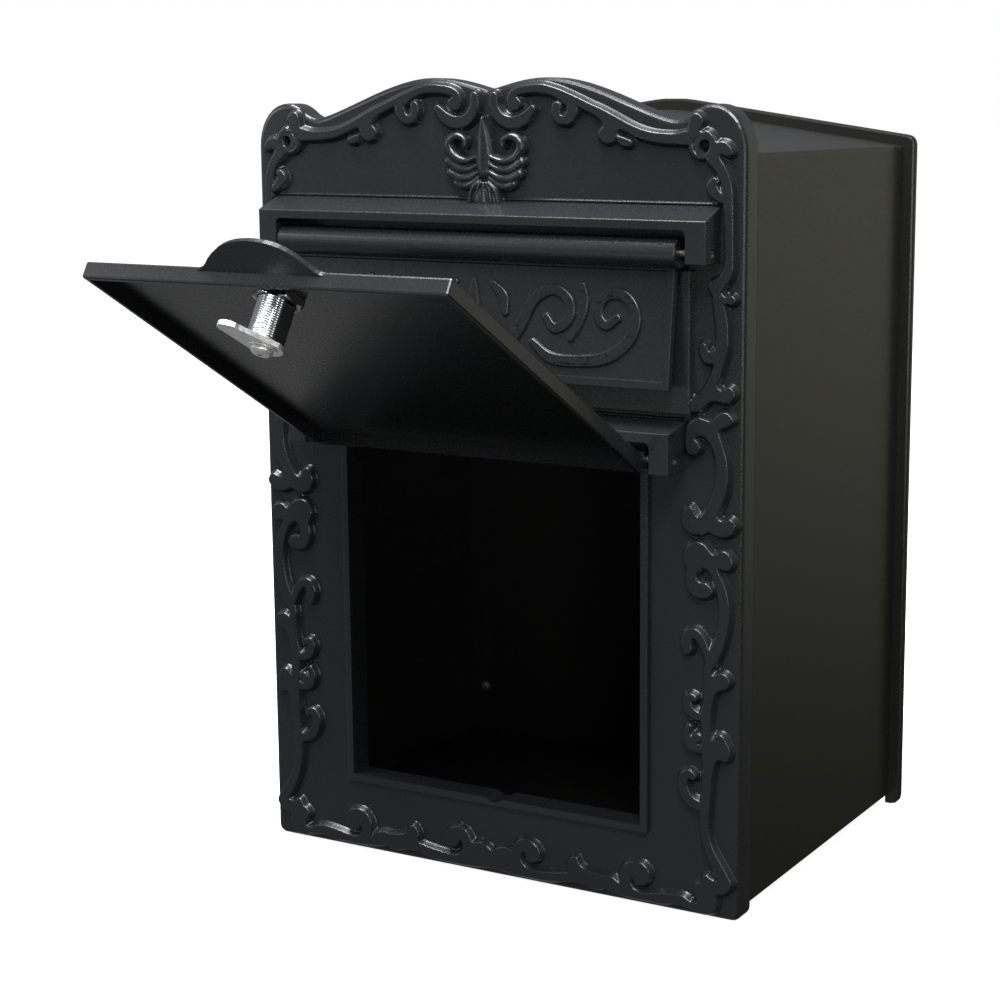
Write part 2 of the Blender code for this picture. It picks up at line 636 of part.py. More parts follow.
def mail_flap(mat):
    y = FLAP_AXIS_Y
    z = FLAP_AXIS_Z
    flap = cylinder("mail_flap", "X", y, z, BARREL_R, BARREL_X0, BARREL_X1, 36, BARREL_CHAMFER)
    back = y + FLAP_BACK
    front = y + FLAP_FRONT
    join(flap, block("panel", (FLAP_X0, front, z - FLAP_LEN), (FLAP_X1, back, z - FLAP_PANEL_DROP),
                     FLAP_EDGE_R))
    x0 = FLAP_X0 + FLAP_BORDER
    x1 = FLAP_X1 - FLAP_BORDER
    z0 = z - FLAP_LEN + FLAP_BORDER
    z1 = z - FLAP_FIELD_DROP
    draft = FLAP_FIELD_DRAFT
    field = front + FLAP_FIELD_DEPTH
    edge = [(x0, z0), (x1, z0), (x1, z1), (x0, z1)]
    floor = inset(edge, draft)
    mouth = inset(edge, -draft)
    cut(flap, loft("field", "Y", [(field, floor), (front - FLAP_FIELD_DEPTH, mouth)]))
    centre_x = 0.5 * (FLAP_X0 + FLAP_X1)
    centre_z = 0.5 * (z0 + z1)
    for side in (-1, 1):
        for scroll in FLAP_SCROLLS:
            points = [(centre_x + side * u * MM, centre_z + v * MM, w * MM) for u, v, w in scroll]
            join(flap, ribbon("scroll", points, field - SCROLL_H, field + SCROLL_ROOT))
    lozenge = [(centre_x, centre_z - LOZENGE_H), (centre_x + LOZENGE_W, centre_z),
               (centre_x, centre_z + LOZENGE_H), (centre_x - LOZENGE_W, centre_z)]
    join(flap, prism("lozenge", lozenge, "Y", field - SCROLL_H, field + SCROLL_ROOT))
    for side, end in ((-1, BARREL_X0), (1, BARREL_X1)):
        low, high = sorted((end + side * MM, end - side * FLAP_BORE_LEN))
        cut(flap, cylinder("bore", "X", y, z, PIN_HOLE_R, low, high, 16))
    turned(flap, -FLAP_TILT, y, z)
    return complete(flap, "mail_flap", mat, (0.0, y, z))


# ---------------------------------------------------------------- door
def tab_outline():
    """Half-oval finger tab with filleted roots; u across, v away from the free edge."""
    root = TAB_HALF_W + TAB_FILLET
    heel = (TAB_HALF_W - TAB_HEEL[0], TAB_HEEL[1])
    side = bezier((root, 0.0), (root - TAB_ROOT_PULL[0], TAB_ROOT_PULL[1]),
                  (TAB_HALF_W - TAB_HEEL_PULL[0], TAB_HEEL_PULL[1]), heel, 4)
    crown = bezier(heel, (TAB_HALF_W - TAB_SHOULDER_PULL[0], TAB_SHOULDER_PULL[1]),
                   (TAB_TOP_PULL, TAB_H), (0.0, TAB_H), 7)
    half = side + crown
    return half + [(0.0, TAB_H)] + [(-u, v) for u, v in reversed(half)]


def door_panel(mat):
    """Built closed, then turned to the open position about the hinge."""
    y = DOOR_AXIS_Y
    top = DOOR_AXIS_Z - DOOR_TOP_DROP
    bottom = DOOR_AXIS_Z - DOOR_LEN
    back = y + DOOR_DEPTH
    door = block("door_panel", (-DOOR_HALF_W, y, bottom), (DOOR_HALF_W, back, top), DOOR_EDGE_R)
    cut(door, block("tray", (-DOOR_HALF_W + DOOR_RIM, y + DOOR_SKIN, bottom + DOOR_RIM),
                    (DOOR_HALF_W - DOOR_RIM, back + MM, top - DOOR_RIM)))
    for side in (-1, 1):
        ends = sorted((side * DOOR_HALF_W, side * (DOOR_HALF_W - DOOR_EAR_W)))
        join(door, cylinder("ear", "X", y, DOOR_AXIS_Z, DOOR_EAR_R, ends[0], ends[1], 24,
                            DOOR_EAR_CHAMFER))
    tab = [(u, -v) for u, v in tab_outline()]
    tab += [(-TAB_ROOT_HALF_W, TAB_ROOT_DEPTH), (TAB_ROOT_HALF_W, TAB_ROOT_DEPTH)]
    tab = prism("tab", tab, "Y", 0.0, DOOR_SKIN)
    tab.data.transform(Matrix.Translation((0.0, y, bottom + MM)) @ Matrix.Rotation(-TAB_TILT, 4, "X"))
    join(door, tab)
    for side in (-1, 1):
        ends = sorted((side * (DOOR_HALF_W + MM), side * (DOOR_HALF_W - DOOR_EAR_W)))
        cut(door, cylinder("bore", "X", y, DOOR_AXIS_Z, PIN_HOLE_R, ends[0], ends[1], 16))
    cut(door, cylinder("lock_hole", "Y", LOCK_X, DOOR_AXIS_Z - LOCK_DROP, LOCK_R + GAP,
                       y - MM, y + DOOR_SKIN + MM, 32))
    turned(door, -DOOR_OPEN, y, DOOR_AXIS_Z)
    return complete(door, "door_panel", mat, (0.0, y, DOOR_AXIS_Z))


# ---------------------------------------------------------------- cam lock
LOCK_Z = DOOR_AXIS_Z - LOCK_DROP
LOCK_FACE = DOOR_AXIS_Y
LOCK_TAIL = DOOR_AXIS_Y + DOOR_SKIN + LOCK_GRIP


def at_door(obj, name, mat):
    """Turn a lock part with the door; its origin goes on the lock's axis."""
    turned(obj, -DOOR_OPEN, DOOR_AXIS_Y, DOOR_AXIS_Z)
    return complete(obj, name, mat, LOCK_PIVOT)


def door_point(x, y, z):
    """Where a point of the closed door is when the door stands open."""
    arm = Matrix.Rotation(-DOOR_OPEN, 3, "X") @ Vector((0.0, y - DOOR_AXIS_Y, z - DOOR_AXIS_Z))
    return Vector((x, DOOR_AXIS_Y + arm.y, DOOR_AXIS_Z + arm.z))


LOCK_PIVOT = door_point(LOCK_X, LOCK_FACE, LOCK_Z)


def lock_housing(mat):
    head = cylinder("lock_housing", "Y", LOCK_X, LOCK_Z, LOCK_HEAD_R,
                    LOCK_FACE - LOCK_SEAT - LOCK_HEAD_H, LOCK_FACE - LOCK_SEAT, 40, LOCK_HEAD_CHAMFER)
    barrel = cylinder("barrel", "Y", LOCK_X, LOCK_Z, LOCK_R, LOCK_FACE - MM, LOCK_TAIL, 40, LOCK_CHAMFER)
    beyond = LOCK_R * 1.2
    for side in (-1, 1):
        ends = sorted((LOCK_X + side * LOCK_FLATS * 0.5, LOCK_X + side * beyond))
        cut(barrel, block("flat", (ends[0], LOCK_FACE, LOCK_Z - beyond),
                          (ends[1], LOCK_TAIL + MM, LOCK_Z + beyond)))
    join(head, barrel)
    cut(head, cylinder("bore", "Y", LOCK_X, LOCK_Z, PLUG_R + PLUG_CLEARANCE, LOCK_FACE - LOCK_R,
                       LOCK_TAIL + MM, 32))
    return at_door(head, "lock_housing", mat)


def lock_nut(mat):
    low = LOCK_FACE + DOOR_SKIN + LOCK_SEAT
    nut = prism("lock_nut", circle(LOCK_X, LOCK_Z, NUT_CORNER_R, 6, NUT_TURN), "Y", low, low + NUT_H)
    cut(nut, cylinder("thread", "Y", LOCK_X, LOCK_Z, LOCK_R + GAP, low - MM, low + NUT_H + MM, 40))
    return at_door(nut, "lock_nut", mat)


def lock_plug(mat):
    low = LOCK_FACE - LOCK_HEAD_H - PLUG_PROUD
    plug = cylinder("lock_plug", "Y", LOCK_X, LOCK_Z, PLUG_R, low, LOCK_TAIL, 32, PLUG_CHAMFER)
    half = PLUG_SQUARE * 0.5
    end = LOCK_TAIL + CAM_CLEARANCE + CAM_T
    join(plug, block("square", (LOCK_X - half, LOCK_TAIL - MM, LOCK_Z - half),
                     (LOCK_X + half, end, LOCK_Z + half)))
    cut(plug, block("keyway", (LOCK_X - KEYWAY_HALF_W, low - MM, LOCK_Z - KEYWAY_HALF_H),
                    (LOCK_X + KEYWAY_HALF_W, low + KEYWAY_DEPTH, LOCK_Z + KEYWAY_HALF_H)))
    cut(plug, cylinder("tapping", "Y", LOCK_X, LOCK_Z, PLUG_TAP_R, LOCK_TAIL - PLUG_TAP_DEPTH, end + MM, 16))
    turn_about_lock(plug)
    return at_door(plug, "lock_plug", mat)


def turn_about_lock(obj):
    """Turn a plug part by the cam's resting angle about the lock's axis."""
    pivot = Matrix.Translation((LOCK_X, 0.0, LOCK_Z))
    obj.data.transform(pivot @ Matrix.Rotation(CAM_TURN, 4, "Y") @ pivot.inverted())


def lock_cam(mat):
    spread = math.degrees(math.asin((CAM_R - CAM_TIP_R) / CAM_REACH))
    outline = arc(LOCK_X, LOCK_Z, CAM_R, spread, 180.0 - spread, 16)
    outline += arc(LOCK_X, LOCK_Z - CAM_REACH, CAM_TIP_R, 180.0 - spread, 360.0 + spread, 10)
    low = LOCK_TAIL + CAM_CLEARANCE
    cam = prism("lock_cam", outline, "Y", low, low + CAM_T)
    half = PLUG_SQUARE * 0.5 + CAM_CLEARANCE
    cut(cam, block("square", (LOCK_X - half, low - MM, LOCK_Z - half),
                   (LOCK_X + half, low + CAM_T + MM, LOCK_Z + half)))
    turn_about_lock(cam)
    return at_door(cam, "lock_cam", mat)


def lock_washer(mat):
    low = LOCK_TAIL + CAM_CLEARANCE + CAM_T + LOCK_SEAT
    washer = cylinder("lock_washer", "Y", LOCK_X, LOCK_Z, WASHER_R, low, low + WASHER_T, 28)
    cut(washer, cylinder("hole", "Y", LOCK_X, LOCK_Z, WASHER_HOLE_R, low - MM, low + WASHER_T + MM, 16))
    return at_door(washer, "lock_washer", mat)


def cam_screw(mat):
    seat = LOCK_TAIL + CAM_CLEARANCE + CAM_T + WASHER_T + 2.0 * LOCK_SEAT
    tip = seat - CAM_SCREW_LEN
    rings = [(tip, CAM_SCREW_TIP_R), (tip + CAM_SCREW_TIP_LEN, CAM_SCREW_SHANK_R), (seat, CAM_SCREW_SHANK_R),
             (seat, CAM_SCREW_R), (seat + CAM_SCREW_H * 0.5, CAM_SCREW_R),
             (seat + CAM_SCREW_H * 0.85, CAM_SCREW_R * 0.8), (seat + CAM_SCREW_H, CAM_SCREW_R * 0.5)]
    screw = loft("cam_screw", "Y", [(y, circle(LOCK_X, LOCK_Z, r, 24)) for y, r in rings])
    length, width, deep = CAM_SCREW_RECESS
    for u, v in ((length, width), (width, length)):
        cut(screw, block("recess", (LOCK_X - u, seat + CAM_SCREW_H - deep, LOCK_Z - v),
                         (LOCK_X + u, seat + CAM_SCREW_H + MM, LOCK_Z + v)))
    turn_about_lock(screw)
    return at_door(screw, "cam_screw", mat)


# ---------------------------------------------------------------- assembly
def build():
    for obj in list(bpy.data.objects):
        bpy.data.objects.remove(obj)
    black = material("powder_black", (0.018, 0.019, 0.021), 0.0, 0.42)
    sheet = material("powder_black_sheet", (0.018, 0.018, 0.018), 0.0, 0.38)
    chrome = material("chrome_plate", (0.78, 0.79, 0.8), 1.0, 0.15)
    zinc = material("zinc_plate", (0.62, 0.62, 0.6), 1.0, 0.35)
    steel = material("bare_steel", (0.42, 0.4, 0.37), 1.0, 0.4)

    front_plate(black)
    body_shell(sheet)
    rear_plate(sheet)
    number = 1
    for side in (-1, 1):
        for height in SCREW_HEIGHTS:
            assembly_screw("front_screw_%d" % number, steel, side * SCREW_X, height,
                           BODY_Y0 + BODY_WALL + SCREW_SEAT, -1.0)
            assembly_screw("rear_screw_%d" % number, steel, side * SCREW_X, height,
                           BODY_Y1 - BODY_WALL - SCREW_SEAT, 1.0)
            number += 1
    for side, word in ((-1, "left"), (1, "right")):
        outer = side * (HOOD_HALF_W - GAP)
        ends = sorted((outer, outer - side * FLAP_PIN_LEN))
        spring_pin("flap_pin_" + word, steel, FLAP_AXIS_Y, FLAP_AXIS_Z, ends[0], ends[1], True)
        outer = side * (RAIL_HALF_W - GAP)
        ends = sorted((outer, outer - side * DOOR_PIN_LEN))
        spring_pin("door_pin_" + word, steel, DOOR_AXIS_Y, DOOR_AXIS_Z, ends[0], ends[1], False)
    mail_flap(black)
    door_panel(black)
    lock_housing(chrome)
    lock_nut(chrome)
    lock_plug(chrome)
    lock_cam(zinc)
    lock_washer(zinc)
    cam_screw(zinc)


build()
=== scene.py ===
import math

import bmesh
import bpy
import numpy as np
from mathutils import Matrix, Vector

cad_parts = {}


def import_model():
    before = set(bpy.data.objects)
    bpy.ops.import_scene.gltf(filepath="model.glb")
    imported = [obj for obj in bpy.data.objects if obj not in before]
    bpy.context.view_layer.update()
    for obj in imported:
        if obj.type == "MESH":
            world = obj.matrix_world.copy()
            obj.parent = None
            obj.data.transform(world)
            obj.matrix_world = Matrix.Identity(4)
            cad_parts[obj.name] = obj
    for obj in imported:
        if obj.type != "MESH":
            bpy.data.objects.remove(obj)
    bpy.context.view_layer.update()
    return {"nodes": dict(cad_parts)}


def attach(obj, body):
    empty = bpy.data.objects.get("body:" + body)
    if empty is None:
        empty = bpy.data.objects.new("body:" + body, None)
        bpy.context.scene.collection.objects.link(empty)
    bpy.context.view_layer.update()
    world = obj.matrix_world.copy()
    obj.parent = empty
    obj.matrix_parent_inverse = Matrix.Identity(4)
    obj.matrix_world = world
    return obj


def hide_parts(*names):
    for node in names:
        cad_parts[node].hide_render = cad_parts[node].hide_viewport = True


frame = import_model()

# The ornament and the lock are in millimetres, in the front plate's own frame: X to the right,
# Y backwards from the plate's front face, Z up from the plate's bottom edge. Materials, camera,
# lights and floor are in metres.
MM = 0.001
FRAME_SHIFT = Vector((0.0, -231.8, -225.0))


def world(point):
    """A point of the plate's frame, in the row frame in metres."""
    return (Vector(point) + FRAME_SHIFT) * MM


# ---------------------------------------------------------------- shader tools
def new_material(name):
    mat = bpy.data.materials.new(name)
    mat.use_nodes = True
    return mat, mat.node_tree.nodes, mat.node_tree.links, mat.node_tree.nodes["Principled BSDF"]


def noise(nodes, links, coords, scale, detail, roughness):
    node = nodes.new("ShaderNodeTexNoise")
    node.inputs["Scale"].default_value = scale
    node.inputs["Detail"].default_value = detail
    node.inputs["Roughness"].default_value = roughness
    links.new(coords, node.inputs["Vector"])
    return node.outputs["Fac"]


def remap(nodes, links, value, low, high, to_low=0.0, to_high=1.0):
    node = nodes.new("ShaderNodeMapRange")
    node.inputs["From Min"].default_value = low
    node.inputs["From Max"].default_value = high
    node.inputs["To Min"].default_value = to_low
    node.inputs["To Max"].default_value = to_high
    links.new(value, node.inputs["Value"])
    return node.outputs["Result"]


def blend_colour(nodes, links, factor, one, two):
    node = nodes.new("ShaderNodeMix")
    node.data_type = "RGBA"
    for socket, value in (("A", one), ("B", two)):
        target = [s for s in node.inputs if s.name == socket and s.type == "RGBA"][0]
        if isinstance(value, tuple):
            target.default_value = (*value, 1.0)
        else:
            links.new(value, target)
    links.new(factor, node.inputs["Factor"])
    return [s for s in node.outputs if s.type == "RGBA"][0]


def bump(nodes, links, height, strength, distance, below=None):
    node = nodes.new("ShaderNodeBump")
    node.inputs["Strength"].default_value = strength
    node.inputs["Distance"].default_value = distance
    links.new(height, node.inputs["Height"])
    if below is not None:
        links.new(below, node.inputs["Normal"])
    return node.outputs["Normal"]


# Noises are given as scale, detail and roughness. Their values lie mostly inside MID_NOISE.
MID_NOISE = (0.3, 0.7)
COAT_WAVES = (28.0, 3.0, 0.55)
COAT_WAVE_H = 0.6 * MM
COAT_PATCHES = (9.0, 2.0, 0.55)
COAT_DIMPLES = (150.0, 2.0, 0.55)
COAT_DIMPLE_H = 0.06 * MM
COAT_SPECKS = (620.0, 4.0, 0.7)
COAT_SPECK_H = 0.08 * MM
COAT_SPECK_STRENGTH = 0.07
COAT_SPECK_RANGE = (0.35, 0.65)
COAT_PEEL = (1500.0, 2.0, 0.5)
COAT_PEEL_H = 0.05 * MM
COAT_PEEL_STRENGTH = 0.08
COAT_GLOSSIER = 0.035
COAT_DULLER = 0.045
EDGE_RANGE = (0.54, 0.66)
# Sharp edges blend towards a lighter tone: partly wear of the coat, partly a painted highlight.
EDGE_WEAR_AND_SHEEN = 0.5
EDGE_RUB_AND_SHEEN_GAIN = 1.8
EDGE_RUB_AND_SHEEN_LIFT = 0.004
PLATE_CLOUDS = (160.0, 3.0, 0.55)
PLATE_GRAIN = (4.0, 0.65)
PLATE_GRAIN_H = 0.05 * MM
PLATE_ROUGH_SPREAD = (0.75, 1.3)
HOLLOW_RANGE = (0.40, 0.49)
CLOUD_SHADE = 0.88
# Plated metal is darkened to this share of its colour in its hollows.
HOLLOW_DARKENING = 0.12


def powder_coat(name, dark, light, rough, casting, specular):
    """Satin powder coat: fine orange peel, soft casting waves and lighter edges, partly wear and partly a
    painted highlight.
    """
    mat, nodes, links, shader = new_material(name)
    coords = nodes.new("ShaderNodeTexCoord").outputs["Object"]
    shader.inputs["Specular IOR Level"].default_value = specular
    waves = noise(nodes, links, coords, *COAT_WAVES)
    patches = noise(nodes, links, coords, *COAT_PATCHES)
    dimples = noise(nodes, links, coords, *COAT_DIMPLES)
    specks = noise(nodes, links, coords, *COAT_SPECKS)
    peel = noise(nodes, links, coords, *COAT_PEEL)
    edge = nodes.new("ShaderNodeNewGeometry").outputs["Pointiness"]
    # Lighter sharp edges: partly wear of the coat, partly a painted highlight.
    wear_and_sheen_mask = remap(nodes, links, edge, *EDGE_RANGE, 0.0, EDGE_WEAR_AND_SHEEN)
    tone = blend_colour(nodes, links, remap(nodes, links, patches, *MID_NOISE), dark, light)
    wear_and_sheen_tone = tuple(c * EDGE_RUB_AND_SHEEN_GAIN + EDGE_RUB_AND_SHEEN_LIFT for c in light)
    links.new(blend_colour(nodes, links, wear_and_sheen_mask, tone, wear_and_sheen_tone), shader.inputs["Base Color"])
    roughness = remap(nodes, links, specks, *COAT_SPECK_RANGE, rough - COAT_GLOSSIER, rough + COAT_DULLER)
    links.new(roughness, shader.inputs["Roughness"])
    surface = bump(nodes, links, waves, casting, COAT_WAVE_H)
    surface = bump(nodes, links, dimples, casting, COAT_DIMPLE_H, surface)
    surface = bump(nodes, links, specks, COAT_SPECK_STRENGTH, COAT_SPECK_H, surface)
    surface = bump(nodes, links, peel, COAT_PEEL_STRENGTH, COAT_PEEL_H, surface)
    links.new(surface, shader.inputs["Normal"])
    return mat


def plated(name, colour, rough, grain_scale, grain):
    """Plated metal with faint clouding, polishing grain and a darker colour in its hollows."""
    mat, nodes, links, shader = new_material(name)
    shader.inputs["Metallic"].default_value = 1.0
    coords = nodes.new("ShaderNodeTexCoord").outputs["Object"]
    clouds = noise(nodes, links, coords, *PLATE_CLOUDS)
    fine = noise(nodes, links, coords, grain_scale, *PLATE_GRAIN)
    edge = nodes.new("ShaderNodeNewGeometry").outputs["Pointiness"]
    clear = remap(nodes, links, edge, *HOLLOW_RANGE)
    dull = tuple(c * CLOUD_SHADE for c in colour)
    hollow_colour = tuple(c * HOLLOW_DARKENING for c in colour)
    tone = blend_colour(nodes, links, remap(nodes, links, clouds, *MID_NOISE), dull, colour)
    # Darker colour in the hollows.
    links.new(blend_colour(nodes, links, clear, hollow_colour, tone), shader.inputs["Base Color"])
    low, high = PLATE_ROUGH_SPREAD
    roughness = remap(nodes, links, fine, *MID_NOISE, rough * low, rough * high)
    links.new(roughness, shader.inputs["Roughness"])
    links.new(bump(nodes, links, fine, grain, PLATE_GRAIN_H), shader.inputs["Normal"])
    return mat


CAST_BLACK = powder_coat("cast_black", dark=(0.0082, 0.0088, 0.0096), light=(0.0108, 0.0115, 0.0124),
                         rough=0.27, casting=0.24, specular=0.50)
SHEET_BLACK = powder_coat("sheet_black", dark=(0.0060, 0.0060, 0.0054), light=(0.0076, 0.0075, 0.0067),
                          rough=0.30, casting=0.03, specular=0.42)
CHROME = plated("chrome", (0.92, 0.93, 0.94), rough=0.15, grain_scale=900.0, grain=0.05)
ZINC = plated("zinc", (0.95, 0.95, 0.93), rough=0.50, grain_scale=700.0, grain=0.15)
STEEL = plated("steel", (0.33, 0.31, 0.28), rough=0.46, grain_scale=1200.0, grain=0.2)

FINISHES = {
    "front_plate": CAST_BLACK,
    "mail_flap": CAST_BLACK,
    "door_panel": CAST_BLACK,
    "body_shell": SHEET_BLACK,
    "rear_plate": SHEET_BLACK,
    "lock_housing": CHROME,
    "lock_nut": CHROME,
    "lock_plug": CHROME,
    "lock_cam": ZINC,
    "lock_washer": ZINC,
    "cam_screw": ZINC,
}
for node_name, node in frame["nodes"].items():
    node.data.materials.clear()
    node.data.materials.append(FINISHES.get(node_name, STEEL))


# ---------------------------------------------------------------- mesh tools
def mesh_object(name, verts, faces, mat):
    mesh = bpy.data.meshes.new(name)
    mesh.from_pydata([world(v) for v in verts], [], faces)
    mesh.validate()
    obj = bpy.data.objects.new(name, mesh)
    bpy.context.scene.collection.objects.link(obj)
    mesh.materials.append(mat)
    mesh.shade_smooth()
    return obj


def apply_modifiers(obj):
    bpy.context.view_layer.update()
    evaluated = obj.evaluated_get(bpy.context.evaluated_depsgraph_get())
    mesh = bpy.data.meshes.new_from_object(evaluated)
    obj.modifiers.clear()
    obj.data = mesh
    return obj


def spline(points, step=1.0):
    """Catmull-Rom through points of any dimension, sampled about every step."""
    pts = [np.array(p, float) for p in points]
    pts = [2 * pts[0] - pts[1]] + pts + [2 * pts[-1] - pts[-2]]
    result = []
    for a, b, c, d in zip(pts, pts[1:], pts[2:], pts[3:]):
        count = max(2, int(math.ceil(np.linalg.norm((c - b)[:2]) / step)))
        for i in range(count):
            t = i / count
            result.append(0.5 * (2 * b + (c - a) * t + (2 * a - 5 * b + 4 * c - d) * t * t
                                 + (3 * b - a - 3 * c + d) * t ** 3))
    result.append(pts[-2])
    return result


# ---------------------------------------------------------------- cast ornament
# Raised scrollwork. Outlines give the edge of a flat top as x, z; strokes give the middle of a
# flat-topped or rounded band as x, z and width. The left half mirrors the right one.
ORNAMENT_H = 3.8
DRAFT = 1.9
FOOT = 0.5
ROOT = 3.0
ARRIS = 0.3
# a flat top's side, from the root up: the buried skirt, the foot, the slope's start and its
# softened edge, given as a share of ARRIS outwards and a depth below the top
SKIRT = 0.1
FOOT_RISE = 0.02
SLOPE_OUT = 0.05
SLOPE_RISE = 0.3
SOFT_EDGE = ((0.8, 0.35), (0.15, 0.08))
# a rounded band's side: its foot, as a share of the foot's width and a height, and its arc in degrees
DOME_FOOT = ((0.9, 0.05), (0.3, 0.3))
DOME_STEPS = (0, 18, 36, 54, 72, 90)
DOME_SILL = 0.12
OUTLINE_STEP = 0.8
OUTLINE_PASSES = 2
MIN_HALF = 0.5
MERGED = 0.05
SOFTEN = 0.5
SCROLL_VOXEL = 0.5
# from the curl beside the middle along the top edge to the ear
TOP_STEM = (
    (15.9, 442.6), (15, 446.9), (16.3, 450.6), (19.9, 453), (24.9, 454.3), (35.6, 455.1), (41.8, 454),
    (48, 452.2), (54.2, 449.9), (60.3, 447.4), (66.4, 444.8), (72.5, 442.5), (78.6, 439.8),
    (84.6, 436.9), (90.6, 434.1), (96.6, 431.8), (102.5, 430.3), (108.5, 429.5), (117.3, 429.3),
    (125.5, 430.4), (126.1, 424.5), (117.3, 424.2), (108.5, 424.7), (99.6, 426.1), (92.4, 428.6),
    (85.8, 431.5), (83.4, 431.2), (82.2, 427.5), (79.8, 424.9), (76.1, 424.3), (73.1, 426.1),
    (71.6, 429.3), (73.7, 431.7), (74.9, 432.7), (73.7, 435.6), (69.5, 439), (63.4, 441.6),
    (58.5, 443.7), (51.7, 444.2), (48, 447.1), (41.8, 449.8), (35.6, 450.9), (26.1, 450.6),
    (20.1, 449), (21.4, 447.7), (23.3, 446.1), (23.2, 444.2), (21, 441.8), (17.8, 441.3))
SMALL_BUD = (
    (82.8, 428), (85.2, 427.5), (88.8, 426.3), (91.8, 425.2), (90.9, 423.1), (86.7, 422.8),
    (83.7, 425.2))
EAR_LOBE = (
    (124.3, 428.3), (125.4, 433), (126, 437.1), (127.7, 439.4), (130.3, 439.7), (132.6, 438.1),
    (133.5, 435.8), (131.8, 432), (130.1, 428.4), (126.1, 426.3))
# two lobes of the ear, and the stem beside the hood
STEM_1 = (
    (134.1, 431), (136.7, 430.6), (139.4, 428.5), (141.4, 425.1), (144.6, 425.4), (147.7, 424.5),
    (150, 422.2), (150.9, 419.4), (147.8, 418.3), (143.7, 419.5), (143.2, 417.5), (145.8, 413.7),
    (148.1, 409.6), (149.9, 405), (150.8, 399.9), (151.2, 390.6), (151.5, 375.1), (151.6, 363.7),
    (151.3, 358), (149.6, 353.8), (146.5, 350), (144.2, 346.7), (140.7, 345), (138.6, 347.5),
    (137.7, 349.9), (138.9, 352.5), (142.1, 354.2), (144.9, 356.7), (146.4, 360.4), (146.9, 367.2),
    (146.7, 380.2), (146.3, 390.5), (145.7, 398.2), (144.5, 404.9), (141.8, 410), (138.3, 413.6),
    (136, 416.1), (138.3, 419.7), (139.1, 423.8), (137.3, 427.9))
# stem beside the flap
STEM_2 = (
    (140.4, 345.5), (144.2, 345.2), (145.3, 346.8), (146.8, 345), (148.8, 344.8), (150.6, 345.8),
    (152.3, 345), (153.5, 343.2), (151.2, 341.5), (147.1, 341.9), (146.3, 340.5), (147.8, 335.9),
    (148.8, 330.7), (149.1, 325.4), (149.1, 320.1), (148.3, 314.8), (146.6, 309.4), (144.9, 303.5),
    (143.2, 299.1), (143.2, 297), (145, 295.5), (147, 295.9), (149, 297.2), (151.1, 297.1),
    (152.8, 295.5), (153.4, 292.9), (151.1, 290.4), (147.1, 289.3), (143, 289.9), (139.4, 289.8),
    (136.5, 287.5), (132.4, 284.2), (127.7, 283.1), (123.8, 284.2), (122, 287), (122.6, 290.3),
    (125.5, 292.4), (128.2, 289.1), (131.5, 291.7), (134.7, 295.1), (137.6, 299.6), (139.9, 304.8),
    (141.3, 309.7), (138.7, 309.5), (135.4, 310.4), (133.4, 312.9), (132.6, 316.6), (133.3, 319.7),
    (135.2, 320.2), (136.8, 318.4), (138, 315.6), (141, 316.5), (142.7, 318.7), (142.6, 324),
    (142, 330.3), (141.1, 337.1), (140.4, 342.4))
# stem beside the lower rail, with a lobe at each end
STEM_3 = (
    (126.5, 276.6), (131.3, 279.9), (135.4, 279.3), (139.8, 278.3), (141.3, 279.8), (143.3, 282.1),
    (146.3, 283.6), (149.5, 283.3), (151.8, 281.3), (153, 279.5), (149, 276.8), (144.3, 274.4),
    (144.9, 270.4), (147, 264.6), (148.8, 258.9), (149.6, 251.9), (149.3, 243.8), (147.6, 237.2),
    (145.3, 231.5), (143.6, 228.1), (145.4, 225.3), (148.9, 225.6), (151.2, 226.6), (153.6, 225),
    (154.5, 222.1), (152.2, 218.9), (147.8, 217.1), (143.1, 217.4), (138.9, 219.2), (135.3, 218.6),
    (131.1, 217.1), (126.3, 218.3), (123.3, 221.5), (122.7, 226.1), (124.4, 230.4), (127.4, 231.8),
    (129.5, 229.8), (131.1, 226.7), (133.5, 226.3), (136.4, 229.6), (139.9, 236.5), (142.2, 243.7),
    (143, 251.4), (142.4, 258.9), (140.3, 265.2), (137.6, 269), (134.9, 270.9), (131.6, 270.6),
    (129.6, 268.9), (131.7, 266.7), (133.3, 263.8), (131.4, 261.2), (127.8, 260.2), (125.4, 261.9),
    (124.8, 267.8), (125.1, 273.2))
